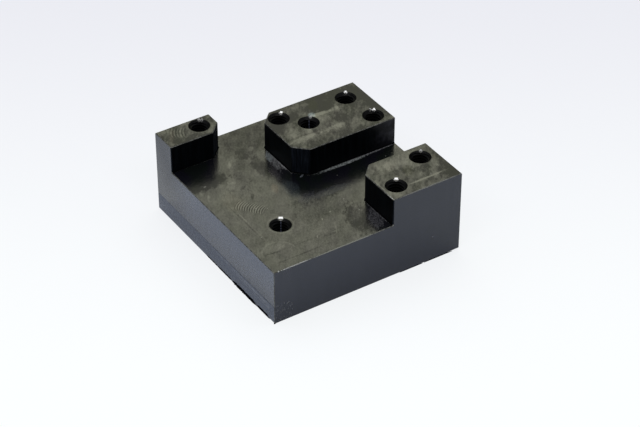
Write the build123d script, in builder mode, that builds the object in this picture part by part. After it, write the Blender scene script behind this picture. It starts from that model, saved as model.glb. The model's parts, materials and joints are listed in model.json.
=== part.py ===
from build123d import *
from math import isclose, radians, tan
import os

os.makedirs("parts", exist_ok=True)

# Mounting block, milled from one piece of plastic bar. The top is cut down to a flat floor and
# leaves three raised lands: a small back post, a wide island and a front post. The lands and
# the floor carry blind tapped holes.
#
# Millimetres. The origin is in the middle of the underside, X to the right, Y to the back, Z up.

# --- Block ---
block_length = 44.45  # left face to right face
block_width = 45.72  # front face to back face
block_height = 19.05  # underside to the tops of the lands
floor_height = 12.7  # underside to the milled floor

# --- Back post, in the left back corner ---
back_post_length = 12.7
back_post_width = 6.35
back_post_chamfer = 2.7

# --- Island, open to the right face, its back wall in line with the back post's front wall ---
island_length = 23.75
island_width = 15.9
island_chamfer = 2.75

# --- Front post, in the right front corner ---
front_post_length = 16.55
front_post_width = 12.7
front_post_chamfer = 2.6

# --- What the cutters leave ---
foot_radius = 0.2  # round at the foot of each wall, from the end mill's corner
edge_break = 0.15  # deburring of every upper edge

# --- Tapped holes, all alike ---
tap_drill = 3.3  # M4 x 0.7
mouth_diameter = 4.5
mouth_angle = 90
drill_depth = 10.5  # to the end of the full diameter
drill_point_angle = 118

# --- Hole centres, each as its distances from the two faces it is dimensioned from ---
back_post_hole = (3.8, 2.7)  # from the post's right wall and the back face
island_left_hole = (3.3, 3.1)  # from the island's left wall and back wall
island_middle_hole = (7.7, 7.7)  # from the island's left wall and back wall
island_back_hole = (4.65, 4.25)  # from the right face and the island's back wall
island_front_hole = (3.45, 3.15)  # from the right face and the island's front wall
front_post_back_hole = (3.8, 3.55)  # from the right face and the post's back wall
front_post_front_hole = (3.1, 3.7)  # from the post's left wall and the front face
floor_hole = (9.3, 12.4)  # from the left face and the front face

# --- Faces and walls that the lands and the holes are placed from ---
left = -block_length / 2
right = block_length / 2
front = -block_width / 2
back = block_width / 2
land_height = block_height - floor_height
back_post_right = left + back_post_length
island_left = right - island_length
island_back = back - back_post_width
island_front = island_back - island_width
front_post_left = right - front_post_length
front_post_back = front + front_post_width


def on_left_or_right(edge):
    """True for an edge that lies in the block's left or right face."""
    return isclose(abs(edge.center().X), right, abs_tol=1e-4)


def on_front_or_back(edge):
    """True for an edge that lies in the block's front or back face."""
    return isclose(abs(edge.center().Y), back, abs_tol=1e-4)


def is_foot(edge):
    """True for an edge of the milled floor where a wall rises from it."""
    return not (on_left_or_right(edge) or on_front_or_back(edge))


def is_rim(edge):
    """True for an upper edge: a land's top, or where the cuts run out through a side face."""
    around_a_top = isclose(edge.center().Z, block_height, abs_tol=1e-4)
    on_underside = isclose(edge.center().Z, 0, abs_tol=1e-4)
    # An edge that lies in two side faces is an upright corner of the block and stays sharp
    on_one_side = on_left_or_right(edge) != on_front_or_back(edge)
    return around_a_top or (on_one_side and not on_underside)


def drill_and_tap():
    """Tap drill with its point and the countersunk mouth, down from each current location."""
    CounterSinkHole(
        radius=tap_drill / 2,
        counter_sink_radius=mouth_diameter / 2,
        counter_sink_angle=mouth_angle,
        depth=drill_depth,
    )
    with Locations((0, 0, -drill_depth)):
        Cone(
            bottom_radius=tap_drill / 2,
            top_radius=0,
            height=tap_drill / 2 / tan(radians(drill_point_angle / 2)),
            rotation=(180, 0, 0),
            align=(Align.CENTER, Align.CENTER, Align.MIN),
            mode=Mode.SUBTRACT,
        )


with BuildPart() as mounting_block:
    # The body below the milled floor
    with BuildSketch():
        Rectangle(block_length, block_width)
    extrude(amount=floor_height)

    # The lands that stand up from the floor, with their inner corners cut off
    with BuildSketch(Plane.XY.offset(floor_height)) as back_post_outline:
        with Locations((left, back)):
            Rectangle(back_post_length, back_post_width, align=(Align.MIN, Align.MAX))
        inner_corners = back_post_outline.vertices().group_by(Axis.X)[-1].group_by(Axis.Y)[0]
        chamfer(inner_corners, length=back_post_chamfer)
    extrude(amount=land_height)

    with BuildSketch(Plane.XY.offset(floor_height)) as island_outline:
        with Locations((right, island_back)):
            Rectangle(island_length, island_width, align=(Align.MAX, Align.MAX))
        inner_corners = island_outline.vertices().group_by(Axis.X)[0]
        chamfer(inner_corners, length=island_chamfer)
    extrude(amount=land_height)

    with BuildSketch(Plane.XY.offset(floor_height)) as front_post_outline:
        with Locations((right, front)):
            Rectangle(front_post_length, front_post_width, align=(Align.MAX, Align.MIN))
        inner_corners = front_post_outline.vertices().group_by(Axis.X)[0].group_by(Axis.Y)[-1]
        chamfer(inner_corners, length=front_post_chamfer)
    extrude(amount=land_height)

    # Round at the foot of every wall that rises from the floor
    floor = mounting_block.faces().filter_by(Axis.Z).group_by(Axis.Z)[1]
    fillet(floor.edges().filter_by(is_foot), radius=foot_radius)

    # Deburred upper edges
    chamfer(mounting_block.edges().filter_by(is_rim), length=edge_break)

    # Tapped holes in the lands
    with Locations(
        (back_post_right - back_post_hole[0], back - back_post_hole[1], block_height),
        (island_left + island_left_hole[0], island_back - island_left_hole[1], block_height),
        (island_left + island_middle_hole[0], island_back - island_middle_hole[1], block_height),
        (right - island_back_hole[0], island_back - island_back_hole[1], block_height),
        (right - island_front_hole[0], island_front + island_front_hole[1], block_height),
        (right - front_post_back_hole[0], front_post_back - front_post_back_hole[1], block_height),
        (front_post_left + front_post_front_hole[0], front + front_post_front_hole[1], block_height),
    ):
        drill_and_tap()

    # Tapped hole in the floor
    with Locations((left + floor_hole[0], front + floor_hole[1], floor_height)):
        drill_and_tap()

mounting_block.part.label = "mounting_block"
export_step(mounting_block.part, "parts/mounting_block.step")
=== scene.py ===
# %% [markdown]
# # A machined mounting block
#
# The object is a small block of black acetal, a hard and slightly waxy plastic. A milling
# machine has cut its top down to a flat floor and left three raised lands standing: a post in
# one back corner, a wide island and a second post in the front corner. Screws go into tapped
# holes in the lands and in the floor.
#
# The shape comes from a finished CAD model. What this lesson adds is what makes a plain block
# look machined: thread turns inside the holes, the cutter's swirls, pale highlights painted at
# the feet of the walls, a torn edge along the bottom and a few knocks.

import json
import math
import random

import bmesh
import bpy
from mathutils import Matrix, Vector, noise


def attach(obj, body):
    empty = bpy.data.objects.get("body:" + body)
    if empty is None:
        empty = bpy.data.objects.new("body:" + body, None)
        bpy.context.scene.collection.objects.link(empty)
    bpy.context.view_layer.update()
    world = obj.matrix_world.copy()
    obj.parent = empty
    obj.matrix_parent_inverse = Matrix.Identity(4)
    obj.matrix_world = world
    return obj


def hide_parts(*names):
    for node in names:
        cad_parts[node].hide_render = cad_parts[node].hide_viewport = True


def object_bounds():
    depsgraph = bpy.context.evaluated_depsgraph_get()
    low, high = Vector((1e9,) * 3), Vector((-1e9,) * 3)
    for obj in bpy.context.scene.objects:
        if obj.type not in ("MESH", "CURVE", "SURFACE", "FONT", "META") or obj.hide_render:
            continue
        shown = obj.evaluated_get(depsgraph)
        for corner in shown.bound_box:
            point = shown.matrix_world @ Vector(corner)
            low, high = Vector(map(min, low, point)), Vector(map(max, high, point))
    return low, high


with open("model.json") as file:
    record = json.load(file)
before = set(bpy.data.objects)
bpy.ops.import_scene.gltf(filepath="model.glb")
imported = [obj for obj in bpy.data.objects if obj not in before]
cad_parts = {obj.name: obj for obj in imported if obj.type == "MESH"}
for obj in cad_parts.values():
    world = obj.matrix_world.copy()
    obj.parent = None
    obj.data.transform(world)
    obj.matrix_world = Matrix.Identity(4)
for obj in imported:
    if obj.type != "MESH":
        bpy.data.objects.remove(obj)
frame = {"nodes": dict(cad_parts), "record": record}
cad_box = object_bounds()
MM = 0.001
print("CAD box in millimetres:", [[round(v / MM, 2) for v in corner] for corner in cad_box])

# %% [markdown]
# ## The camera
#
# A long lens from a little above, so that upright edges stay nearly parallel. The camera is
# described in the terms one would use beside it: which way it looks, how far off it stands and
# how long the lens is. An aiming target would do as well, but a direction and a distance can be
# changed one at a time, and the lamps are placed in the same terms.

# %% Camera
def direction(azimuth, elevation):
    """A unit vector from the block: azimuth 0 is the front, +90 the right, elevation is up."""
    a, e = math.radians(azimuth), math.radians(elevation)
    return Vector((math.sin(a) * math.cos(e), -math.cos(a) * math.cos(e), math.sin(e)))


camera_azimuth, camera_elevation = -33.02, 36.93
camera_distance = 453.8 * MM
look_at = Vector((0.0, 0.0, 8.89)) * MM
frame_shift = (2.70 * MM, -4.18 * MM)

to_camera = direction(camera_azimuth, camera_elevation)
camera_right = direction(camera_azimuth + 90, 0)
camera_up = to_camera.cross(camera_right)

camera_data = bpy.data.cameras.new("camera")
camera_data.sensor_width = 36.0
camera_data.lens = 124.45
camera_data.clip_start = 0.01
camera = bpy.data.objects.new("camera", camera_data)
camera.location = (
    look_at + to_camera * camera_distance + camera_right * frame_shift[0] + camera_up * frame_shift[1]
)
camera.rotation_euler = to_camera.to_track_quat("Z", "Y").to_euler()
bpy.context.scene.collection.objects.link(camera)
bpy.context.scene.camera = camera
print("camera stands at", [round(v / MM) for v in camera.location], "mm")

# %% [markdown]
# ## The light
#
# Black plastic has almost no colour of its own, so nearly all that is seen on it is reflected
# light. A milled top reflects what stands behind the block, and its sides reflect the table.
# So there is one big soft panel behind the block, one strip lamp above the camera, which makes
# the sparks in the screw holes, and a pale room all round.

# %% Light
def soft_panel(name, azimuth, elevation, distance, width, height, radiance, colour):
    """A rectangular lamp that faces the block. Radiance 1 is as bright as white paper."""
    data = bpy.data.lights.new(name, "AREA")
    data.shape = "RECTANGLE"
    data.size, data.size_y = width, height
    data.energy = radiance * math.pi * width * height
    data.color = colour
    lamp = bpy.data.objects.new(name, data)
    lamp.location = direction(azimuth, elevation) * distance
    lamp.rotation_euler = direction(azimuth, elevation).to_track_quat("Z", "Y").to_euler()
    bpy.context.scene.collection.objects.link(lamp)
    print(f"{name}: {width:.2f} x {height:.2f} m, power {data.energy:.1f} W")


soft_panel(
    "back_panel", azimuth=147, elevation=38, distance=1.3, width=1.6, height=0.70,
    radiance=1.35, colour=(1.0, 0.985, 0.60),
)
soft_panel(
    "strip_lamp", azimuth=-36, elevation=54.5, distance=1.5, width=2.0, height=0.26,
    radiance=7.5, colour=(1.0, 1.0, 1.0),
)


# %% [markdown]
# ## Helpers for node work
#
# A finish is a small calculation: measure where a point of the surface lies, make a mask from
# that, and mix two colours by the mask. Built node by node it takes dozens of lines, so each
# common step is a short function that returns the output of its node. Then a material reads
# almost like a formula. Drawing the nodes by hand in the editor gives the same result, but it
# can't be repeated for another part or corrected in one place.

# %% Links, arithmetic and soft steps
def link(tree, source, target):
    """Joins an output to an input, or sets the input when the source is a plain value."""
    if isinstance(source, bpy.types.NodeSocket):
        tree.links.new(source, target)
    else:
        target.default_value = source


def math_node(tree, operation, *values):
    """One step of arithmetic, which returns its output so that steps can be chained."""
    node = tree.nodes.new("ShaderNodeMath")
    node.operation = operation
    for socket, value in zip(node.inputs, values):
        link(tree, value, socket)
    return node.outputs[0]


def smooth_step(tree, value, start, end, low=0.0, high=1.0):
    """Goes softly from low to high while the value goes from start to end."""
    node = tree.nodes.new("ShaderNodeMapRange")
    node.interpolation_type = "SMOOTHSTEP"
    link(tree, value, node.inputs["Value"])
    for name, number in (("From Min", start), ("From Max", end), ("To Min", low), ("To Max", high)):
        link(tree, number, node.inputs[name])
    return node.outputs["Result"]


# %% Colour, noise and place
def mixed_colour(tree, factor, first, second):
    """The first colour at factor 0 and the second at 1. A Mix node's colours are sockets 6 and 7."""
    node = tree.nodes.new("ShaderNodeMix")
    node.data_type = "RGBA"
    link(tree, factor, node.inputs[0])
    link(tree, first, node.inputs[6])
    link(tree, second, node.inputs[7])
    return node.outputs[2]


def noise_node(tree, vector, scale, detail=2.0, roughness=0.5):
    """Soft noise around 0.5, with the scale in clouds per millimetre."""
    node = tree.nodes.new("ShaderNodeTexNoise")
    link(tree, vector, node.inputs["Vector"])
    node.inputs["Scale"].default_value = scale
    node.inputs["Detail"].default_value = detail
    node.inputs["Roughness"].default_value = roughness
    return node.outputs["Fac"]


def millimetres(tree):
    """The place on the block in millimetres, as X, Y, Z and as one vector."""
    place = tree.nodes.new("ShaderNodeTexCoord").outputs["Object"]
    scaled = tree.nodes.new("ShaderNodeVectorMath")
    scaled.operation = "SCALE"
    tree.links.new(place, scaled.inputs[0])
    scaled.inputs["Scale"].default_value = 1 / MM
    split = tree.nodes.new("ShaderNodeSeparateXYZ")
    tree.links.new(scaled.outputs[0], split.inputs[0])
    return scaled.outputs[0], split.outputs[0], split.outputs[1], split.outputs[2]


# %% Materials to start from
def new_material(name):
    """An empty material with a Principled BSDF, which every finish here starts from."""
    material = bpy.data.materials.new(name)
    material.use_nodes = True
    tree = material.node_tree
    tree.nodes.clear()
    shader = tree.nodes.new("ShaderNodeBsdfPrincipled")
    output = tree.nodes.new("ShaderNodeOutputMaterial")
    tree.links.new(shader.outputs[0], output.inputs[0])
    return material, tree, shader


def plain_plastic(name, colour, roughness, specular=0.5):
    """A finish of one even colour."""
    material, _, shader = new_material(name)
    shader.inputs["Base Color"].default_value = (*colour, 1)
    shader.inputs["Roughness"].default_value = roughness
    shader.inputs["Specular IOR Level"].default_value = specular
    return material


# %% [markdown]
# ## The room
#
# The room is bright overhead and dim near the horizon, as a room with a pale ceiling is. One
# side of it, at the front left, is dim as well. The dim parts matter: they are what the sloping
# mouths of the screw holes reflect, and they keep them dark, so that the lamp's sparks stand
# out. A sky texture or a picture of a room would do as well, but a few values and smooth steps
# between them are easier to judge.

# %% Room
def pale_room(horizon, ceiling, dim_side, dimmest):
    """Light from all round, from the horizon's level up to the ceiling's, less on the dim side."""
    world = bpy.data.worlds.new("pale_room")
    bpy.context.scene.world = world
    world.use_nodes = True
    tree = world.node_tree
    tree.nodes.clear()
    outward = tree.nodes.new("ShaderNodeTexCoord").outputs["Generated"]
    upward = tree.nodes.new("ShaderNodeSeparateXYZ")
    tree.links.new(outward, upward.inputs[0])
    level = smooth_step(tree, upward.outputs["Z"], 0.2, 0.95, horizon, ceiling)
    towards = tree.nodes.new("ShaderNodeVectorMath")
    towards.operation = "DOT_PRODUCT"
    tree.links.new(outward, towards.inputs[0])
    towards.inputs[1].default_value = dim_side
    dim_from, dim_inside = math.cos(math.radians(53.13)), math.cos(math.radians(31.79))
    dimmed = smooth_step(tree, towards.outputs["Value"], dim_from, dim_inside, 1.0, dimmest)
    level = math_node(tree, "MULTIPLY", level, dimmed)
    seen = tree.nodes.new("ShaderNodeLightPath").outputs["Is Camera Ray"]
    strength = math_node(tree, "MAXIMUM", level, seen)
    light = tree.nodes.new("ShaderNodeBackground")
    light.inputs["Color"].default_value = (0.93, 0.96, 1.0, 1.0)
    tree.links.new(strength, light.inputs["Strength"])
    tree.links.new(light.outputs[0], tree.nodes.new("ShaderNodeOutputWorld").inputs[0])
    print(f"{world.name}: {horizon} at the horizon, {ceiling} overhead, {len(tree.nodes)} nodes")


pale_room(horizon=0.05, ceiling=1.6, dim_side=direction(-33, 50), dimmest=0.06)


# %% [markdown]
# ## The table
#
# The table is a sheet of white paper, painted greyer and bluer far away as shade where the light
# falls off. In a bright room light bounces about so much that even the paper beside the block is
# almost white. So part of what is seen of the sheet is a glow, and the rest is the lit paper,
# which keeps the shadow. The block mirrors the lit paper on its sides.

# %% Table
def white_table(glow_share, mirrored_share):
    """A sheet of paper. The shares are how much of it is glow when it is seen and when mirrored."""
    bpy.ops.mesh.primitive_plane_add(size=6.0, location=(0, 0, 0))
    table = bpy.context.object
    table.name = "table"
    material = bpy.data.materials.new("white_table")
    material.use_nodes = True
    tree = material.node_tree
    tree.nodes.clear()
    output = tree.nodes.new("ShaderNodeOutputMaterial")
    paper = tree.nodes.new("ShaderNodeBsdfDiffuse")
    glow = tree.nodes.new("ShaderNodeEmission")
    mix = tree.nodes.new("ShaderNodeMixShader")
    path = tree.nodes.new("ShaderNodeLightPath")
    mirrored = math_node(tree, "MAXIMUM", path.outputs["Is Glossy Ray"], path.outputs["Is Transmission Ray"])
    share = math_node(tree, "MULTIPLY", mirrored, mirrored_share)
    seen = math_node(tree, "MULTIPLY", path.outputs["Is Camera Ray"], glow_share)
    tree.links.new(math_node(tree, "MAXIMUM", share, seen), mix.inputs[0])
    tree.links.new(paper.outputs[0], mix.inputs[1])
    tree.links.new(glow.outputs[0], mix.inputs[2])
    tree.links.new(mix.outputs[0], output.inputs[0])
    _, x, y, _ = millimetres(tree)
    away = direction(camera_azimuth + 180, 0)
    rightward = math_node(tree, "MULTIPLY", x, away.x)
    backward = math_node(tree, "MULTIPLY", y, away.y)
    near_edge, far_edge = -60.0, 130.0
    # Painted shade: further from the camera the sheet is painted greyer and bluer, as light falls off
    far = smooth_step(tree, math_node(tree, "ADD", rightward, backward), near_edge, far_edge)
    glow_colour = mixed_colour(tree, far, (0.985, 1.0, 1.0, 1), (0.815, 0.82, 0.875, 1))
    paper_colour = mixed_colour(tree, far, (0.88, 0.93, 1.0, 1), (0.77, 0.77, 0.87, 1))
    tree.links.new(glow_colour, glow.inputs["Color"])
    tree.links.new(paper_colour, paper.inputs["Color"])
    table.data.materials.append(material)
    print(f"{table.name}: {glow_share:.0%} glow, {len(tree.nodes)} nodes")


white_table(glow_share=0.82, mirrored_share=0.25)


# %% [markdown]
# ## A working copy of the block
#
# The block itself was cut from solid bar on a milling machine, and its exact shape comes from
# the CAD. That piece is kept as it is. Everything below is cut into a copy of its mesh, measured
# in millimetres, because holes and marks are easier to place in the unit on the drawing. Each
# cut is a boolean with closed shapes. Displacing the surface would need a very fine mesh
# everywhere, while a cut only adds faces where something happens.

# %% Working copy
def working_copy(node_name, name):
    """The CAD node's mesh in millimetres, welded, as a new object. The CAD object isn't touched."""
    source = frame["nodes"][node_name].data
    points = [v.co / MM for v in source.vertices]
    faces = [tuple(p.vertices) for p in source.polygons]
    mesh = bpy.data.meshes.new(name)
    mesh.from_pydata(points, [], faces)
    work = bmesh.new()
    work.from_mesh(mesh)
    weld_distance = 0.0005
    bmesh.ops.remove_doubles(work, verts=work.verts, dist=weld_distance)
    open_edges = sum(1 for edge in work.edges if len(edge.link_faces) != 2)
    work.to_mesh(mesh)
    work.free()
    obj = bpy.data.objects.new(name, mesh)
    bpy.context.scene.collection.objects.link(obj)
    print(f"{name}: {len(mesh.polygons)} faces copied, {open_edges} open edges")
    return obj


# %% Cutting
def cut_away(target, cutter_mesh_data, label):
    """Takes closed cutter shapes out of the target and prints how many faces that left."""
    cutter_mesh = bpy.data.meshes.new(label)
    cutter_mesh.from_pydata(*cutter_mesh_data)
    work = bmesh.new()
    work.from_mesh(cutter_mesh)
    bmesh.ops.recalc_face_normals(work, faces=work.faces)
    work.to_mesh(cutter_mesh)
    open_edges = sum(1 for edge in work.edges if len(edge.link_faces) != 2)
    work.free()
    cutter = bpy.data.objects.new(label, cutter_mesh)
    bpy.context.scene.collection.objects.link(cutter)
    modifier = target.modifiers.new(label, "BOOLEAN")
    modifier.operation = "DIFFERENCE"
    modifier.solver = "MANIFOLD"
    modifier.object = cutter
    graph = bpy.context.evaluated_depsgraph_get()
    result = bpy.data.meshes.new_from_object(target.evaluated_get(graph))
    target.modifiers.clear()
    target.data = result
    bpy.data.objects.remove(cutter)
    print(f"{label}: cutter has {open_edges} open edges, block now has {len(result.polygons)} faces")


# %% Copy the block
block = working_copy("mounting_block", "milled_block")
low, high = (corner / MM for corner in cad_box)

# %% [markdown]
# ## The tapped holes
#
# Each hole is drilled, given a cone-shaped mouth with a countersink, and then cut with a tap,
# which leaves a helical groove. A texture of rings would pass from straight above, but the low
# view into these holes shows real turns. So the whole cavity, mouth, thread, plain drill end and
# point, is built as one closed shape and taken out of the block with a boolean. Every column of
# points around the hole is the last one moved down by a share of the pitch, so the rows join up
# after a full turn and make a true helix.

# %% Tapped holes
thread_pitch = 0.70
major_radius = 2.00
mouth_radius = 2.30
thread_depth = 8.5

# A hundredth of a millimetre more than the CAD's drilled hole, so that the cut clears its walls
minor_radius = 1.66
drill_depth = 10.51
point_depth = 1.0

# How finely a thread is divided: around the hole, and from one turn to the next
columns = 56
rows_per_turn = 8

# A countersink that shakes leaves a slightly wavy cone: the height and the number of its waves
chatter_height = 0.004
chatter_lobes = 7


def thread_height(turn):
    """How far the thread is cut in, 0 to 1, at a share of one turn: crest, flank, root, flank."""
    crest, flank, root = 0.30, 0.58, 0.71
    if turn < crest:
        return 0.0
    if turn < flank:
        return (turn - crest) / (flank - crest)
    if turn < root:
        return 1.0
    return (1.0 - turn) / (1.0 - root)


def hole_radius(depth, row):
    """The radius at a depth below the surface: the mouth or the thread, whichever is wider."""
    fade = min(1.0, max(0.0, (thread_depth - depth) / (2 * thread_pitch)))
    height = fade * thread_height(row / rows_per_turn % 1.0)
    thread = minor_radius + (major_radius - minor_radius) * height
    return max(thread, mouth_radius - depth)


# %% One closed cavity
def tapped_hole(centre_x, centre_y, top, start_angle):
    """A closed shape to cut away: mouth, helical thread, plain drill end and its point."""
    points, faces, index = [], [], {}
    cone_depth = mouth_radius - major_radius

    def vertex(column, depth, radius):
        key = (column % columns, round(depth, 5))
        if key not in index:
            angle = start_angle + 2 * math.pi * (column % columns) / columns
            if depth < cone_depth + 0.001:
                radius += chatter_height * math.sin(chatter_lobes * angle)
            index[key] = len(points)
            x = centre_x + radius * math.cos(angle)
            y = centre_y + radius * math.sin(angle)
            points.append((x, y, top - depth))
        return index[key]

    def grid(column, row):
        if column == columns:
            column, row = 0, row - rows_per_turn
        depth = cone_depth + (row / rows_per_turn - column / columns) * thread_pitch
        depth = min(thread_depth, max(cone_depth, depth))
        return vertex(column, depth, hole_radius(depth, row))

    def face(*corners):
        ring = tuple(dict.fromkeys(corners))
        if len(ring) > 2:
            faces.append(ring)

    def band(upper, upper_radius, lower, lower_radius):
        for column in range(columns):
            face(
                vertex(column, upper, upper_radius), vertex(column + 1, upper, upper_radius),
                vertex(column + 1, lower, lower_radius), vertex(column, lower, lower_radius),
            )

    for column in range(columns):
        for row in range(int((thread_depth - cone_depth) / thread_pitch + 2) * rows_per_turn):
            face(grid(column, row), grid(column + 1, row), grid(column + 1, row + 1), grid(column, row + 1))
    lid_height = 0.2
    band(-lid_height, mouth_radius + lid_height, cone_depth, major_radius)
    band(thread_depth, minor_radius, drill_depth, minor_radius)
    tip = len(points)
    points.append((centre_x, centre_y, top - drill_depth - point_depth))
    for column in range(columns):
        face(vertex(column, drill_depth, minor_radius), vertex(column + 1, drill_depth, minor_radius), tip)
    face(*(vertex(column, -lid_height, mouth_radius + lid_height) for column in range(columns)))
    return points, faces


def merged(shapes):
    """Several separate shapes as the point and face lists of one."""
    points, faces = [], []
    for shape_points, shape_faces in shapes:
        start = len(points)
        points += shape_points
        faces += [tuple(start + i for i in face) for face in shape_faces]
    return points, [], faces


# %% Cut the holes
# A mount's place is the middle of its threaded length, which starts at the foot of the mouth
mouth_depth = 0.60
holes = {}
for mount in frame["record"]["mounts"]:
    if mount["kind"] == "threaded_hole":
        x, y, z = (value / MM for value in mount["pos_m"])
        holes[mount["name"]] = (x, y, round(z + mount["dims"]["length_mm"] / 2 + mouth_depth, 2))
print("tapped holes:", holes)
taps = [tapped_hole(*place, start_angle=0.9 * i) for i, place in enumerate(holes.values())]
cut_away(block, merged(taps), "taps")
floor_height = holes["floor_hole"][2]
land_height = high.z

# %% [markdown]
# ## Nicks in the rims
#
# On the real block the far rim of each hole sparkles in one or two spots, as a countersink may
# leave it where it chatters or is lifted out. A cone that is perfectly round would only give a
# faint, even gleam. So small wedges are cut into the rims, with an outer face as steep as the
# mouth itself, and each of these flats mirrors the strip lamp as one bright spot. A tiny lamp or
# a painted white dot would look the same from one side only.

# %% Nicks in the rims
# The hole, the direction from its middle in degrees, half the width of the flat and how brightly
# the flat shines
rim_nicks = [
    ("island_left_hole", 46.0, 0.27, 1.0),
    ("island_middle_hole", 48.0, 0.14, 0.30),
    ("island_back_hole", 56.5, 0.20, 0.9),
    ("island_front_hole", 51.0, 0.17, 1.0),
    ("island_front_hole", 69.0, 0.14, 0.5),
    ("front_post_back_hole", 52.0, 0.18, 0.30),
    ("front_post_front_hole", 55.0, 0.34, 1.0),
    ("back_post_hole", 47.0, 0.14, 0.25),
    ("back_post_hole", 61.0, 0.14, 0.25),
    ("floor_hole", 57.0, 0.42, 1.0),
]

# How far a nick reaches out past the mouth, and how deep it is
nick_reach = 0.40
nick_depth = 0.27


def rim_nick(hole_name, towards, half_width):
    """A wedge to cut away, whose outer face slopes at 45 degrees like the mouth itself."""
    hole_x, hole_y, top = holes[hole_name]
    outward = Vector((math.cos(math.radians(towards)), math.sin(math.radians(towards)), 0.0))
    aside = Vector((-outward.y, outward.x, 0.0))
    inner, over = 1.8, 0.2
    rim = mouth_radius + nick_reach
    outline = [(inner, over), (rim + over, over), (rim - nick_depth, -nick_depth), (inner, -nick_depth)]
    middle = Vector((hole_x, hole_y, top))
    points = [
        middle + outward * reach + aside * side + Vector((0.0, 0.0, height))
        for side in (-half_width, half_width)
        for reach, height in outline
    ]
    faces = [(0, 1, 2, 3), (7, 6, 5, 4)] + [(i, i + 4, (i + 1) % 4 + 4, (i + 1) % 4) for i in range(4)]
    return points, faces


nicks = [rim_nick(name, towards, half_width) for name, towards, half_width, _ in rim_nicks]
cut_away(block, merged(nicks), "rim_nicks")

# %% [markdown]
# ## Marks on the sides
#
# The sides of the block are the sawn and skimmed sides of the bar. They carry a few marks: faint
# lines low on the left side, a knock, and small scuffs near the lower front corner where the
# block has been stood down. They are small, but a mark that is cut into the mesh catches light
# on one edge and shade on the other from every side, which a painted mark doesn't, so they are
# cut with small closed shapes. Two kinds of shape are enough: a strip that follows a row of
# cross-sections, and a rough lump.

# %% Strips and lumps
def strip(sections):
    """A closed strip of material through a row of cross-sections, each a list of points."""
    count = len(sections[0])
    points = [point for section in sections for point in section]
    faces = [tuple(range(count)), tuple(range(len(points) - count, len(points)))]
    for i in range(len(sections) - 1):
        for j in range(count):
            k = (j + 1) % count
            faces.append((i * count + j, i * count + k, (i + 1) * count + k, (i + 1) * count + j))
    return points, faces


def lump(centre, size, turn_axis="Y", turn_degrees=0.0):
    """A small rough ball, used to cut a dent or to add a crumb."""
    ball = bmesh.new()
    bmesh.ops.create_icosphere(ball, subdivisions=2, radius=1.0)
    turn = Matrix.Rotation(math.radians(turn_degrees), 3, turn_axis)
    points = []
    for v in ball.verts:
        rough = 1 + 0.25 * noise.noise(v.co * 2.3 + Vector(centre))
        stretched = Vector(a * b for a, b in zip(v.co, size))
        points.append(Vector(centre) + turn @ (stretched * rough))
    faces = [tuple(v.index for v in face.verts) for face in ball.faces]
    ball.free()
    return points, faces


# %% Witness lines on the left side
def scribed_line(y_start, y_end, height_start, height_end, width, depth):
    """A shallow V groove along the left side."""
    sections = []
    steps = 30
    for i in range(steps + 1):
        t = i / steps
        y = y_start + (y_end - y_start) * t
        z = height_start + (height_end - height_start) * t + 0.03 * noise.noise(Vector((y * 0.4, 7.0, 0.0)))
        sections.append([
            Vector((low.x - 0.2, y, z + width / 2)),
            Vector((low.x - 0.2, y, z - width / 2)),
            Vector((low.x, y, z - width / 2)),
            Vector((low.x + depth, y, z)),
            Vector((low.x, y, z + width / 2)),
        ])
    return strip(sections)


witness_lines = [
    scribed_line(high.y + 0.5, low.y - 0.5, 3.92, 4.08, 0.20, 0.05),
    scribed_line(-3.0, -18.8, 3.30, 2.95, 0.12, 0.03),
    scribed_line(-9.5, -20.5, 2.62, 2.40, 0.10, 0.02),
]
cut_away(block, merged(witness_lines), "witness_lines")

# %% Knock and scuffs on the front
random.seed(11)
scuffs = [lump((15.6, low.y + 0.02, 5.9), (0.30, 0.06, 0.12), "Y", -50)]
taken = []
while len(scuffs) < 34:
    x = low.x + 0.30 + 3.9 * random.random() ** 1.5
    z = 0.6 + 3.7 * random.random() ** 1.2
    size = (0.06 + 0.04 * random.random(), 0.035, 0.24 + 0.26 * random.random())
    lean = random.uniform(-8, 14)
    if all(abs(x - other_x) > 0.24 or abs(z - other_z) > 1.1 for other_x, other_z in taken):
        taken.append((x, z))
        scuffs.append(lump((x, low.y + 0.018, z), size, "Y", lean))
cut_away(block, merged(scuffs), "scuffs")

# %% [markdown]
# ## Broken corners
#
# A sharp corner of plastic doesn't stay sharp. The upright corner at the front left has a tiny
# flat worn along it, and so do the bottom edges. A bevel modifier would break all the edges alike.
# Here each corner is cut on its own, so that each has its own width.

# %% Broken corners
def corner_cut(path, outward_a, outward_b, widths):
    """A three-sided strip that takes the corner off an edge, from the first width to the last."""
    sections = []
    for point, width in zip(path, widths):
        over = 0.1
        sections.append([
            Vector(point) + outward_a * over - outward_b * (width + over),
            Vector(point) - outward_a * (width + over) + outward_b * over,
            Vector(point) + outward_a * over + outward_b * over,
        ])
    return strip(sections)


leftward, frontward, downward = Vector((-1, 0, 0)), Vector((0, -1, 0)), Vector((0, 0, -1))
upright = corner_cut(
    [(low.x, low.y, -0.5), (low.x, low.y, floor_height + 0.5)], leftward, frontward, [0.13, 0.10],
)
cut_away(block, merged([upright]), "upright_corner")
front_bottom = corner_cut(
    [(low.x - 0.5, low.y, 0), (12.0, low.y, 0), (high.x + 0.5, low.y, 0)],
    frontward, downward, [0.12, 0.14, 0.30],
)
cut_away(block, merged([front_bottom]), "front_bottom_edge")
left_bottom = corner_cut(
    [(low.x, -20.6, 0), (low.x, -21.4, 0), (low.x, low.y - 0.5, 0)], leftward, downward, [0.01, 0.20, 0.18],
)
cut_away(block, merged([left_bottom]), "left_bottom_edge")

# %% [markdown]
# ## Shader node groups
#
# The same few effects turn up on several faces of the block, so each is a node group with its
# own named inputs, placed as often as it is needed. A group here never holds a shader. It only
# hands out numbers between 0 and 1, called masks, and heights, and the material decides what
# they change.

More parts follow.
